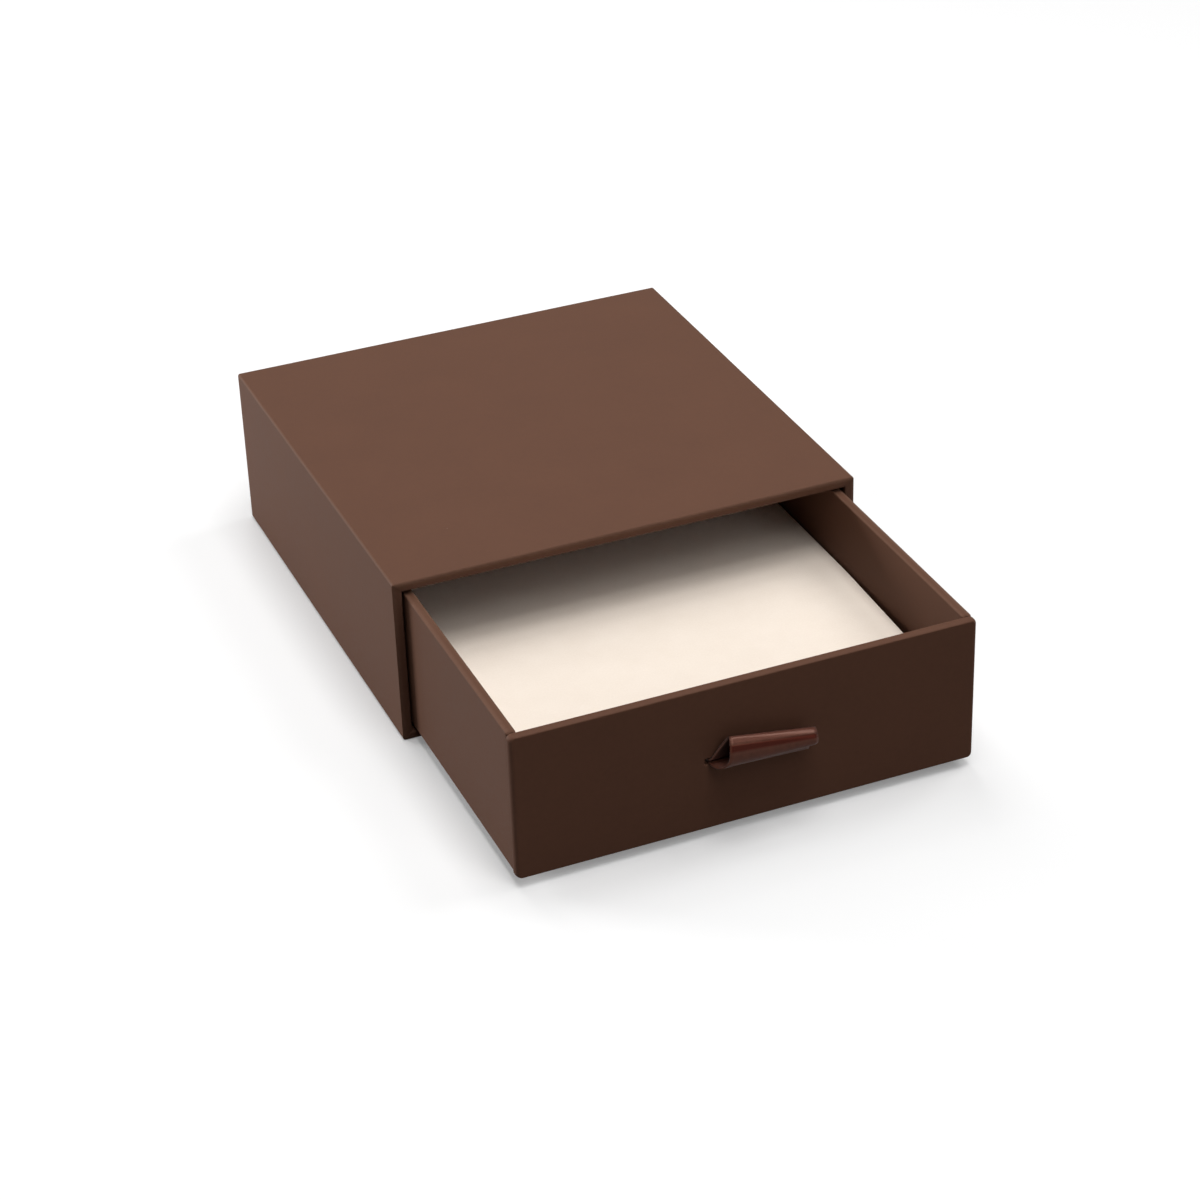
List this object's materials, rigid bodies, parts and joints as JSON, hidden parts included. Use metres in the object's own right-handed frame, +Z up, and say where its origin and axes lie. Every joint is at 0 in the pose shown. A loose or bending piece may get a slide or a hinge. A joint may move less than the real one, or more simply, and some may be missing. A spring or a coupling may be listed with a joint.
{
  "type": "sliding drawer gift box",
  "caption": "Small square gift box of wrapped greyboard: a tray with a padded insert slides out of an open-ended sleeve by a flat ribbon loop.",
  "frame": {"origin": "centre of the sleeve's underside", "axes": "+Z up, +Y from the sleeve's mouth to its closed back, so the drawer opens along -Y; +X to the right of someone who faces the mouth"},
  "size_m": [0.09, 0.1466, 0.0325],
  "materials": {
    "wrap_paper": "brown matt paper with a faint sheen, pasted over the boards",
    "tray_paper": "the same brown matt paper on the tray",
    "panel_paper": "the same brown matt paper on the drawer front",
    "lining_paper": "dark brown uncoated lining paper",
    "greyboard": "unprinted grey board",
    "stay_tape": "buff kraft paper tape",
    "ribbon_satin": "brown woven satin, soft sheen",
    "foam": "off-white open foam",
    "insert_facing": "ivory short-pile facing"
  },
  "bodies": {
    "sleeve": {"sleeve_top_board": "greyboard", "sleeve_bottom_board": "greyboard", "sleeve_left_board": "greyboard", "sleeve_right_board": "greyboard", "sleeve_back_board": "greyboard", "sleeve_bottom_left_tape": "stay_tape", "sleeve_bottom_right_tape": "stay_tape", "sleeve_top_left_tape": "stay_tape", "sleeve_top_right_tape": "stay_tape", "sleeve_wrap": "wrap_paper", "sleeve_underside_sheet": "wrap_paper", "sleeve_back_cover": "wrap_paper", "sleeve_lining": "lining_paper", "sleeve_back_lining": "lining_paper"},
    "drawer": {"tray_base_board": "greyboard", "tray_left_board": "greyboard", "tray_right_board": "greyboard", "tray_back_board": "greyboard", "tray_back_left_tape": "stay_tape", "tray_back_right_tape": "stay_tape", "tray_wrap": "tray_paper", "tray_floor_lining": "tray_paper", "front_panel_board": "greyboard", "front_panel_wrap": "panel_paper", "front_panel_lining": "tray_paper", "ribbon_pull": "ribbon_satin", "ribbon_tail_patch": "stay_tape", "insert_foam": "foam", "insert_facing": "insert_facing"}
  },
  "joints": [
    {"name": "drawer_slide", "type": "slide", "parent": "sleeve", "child": "drawer", "axis": [0, -1, 0], "range_m": [-0.0505, 0.045]}
  ]
}
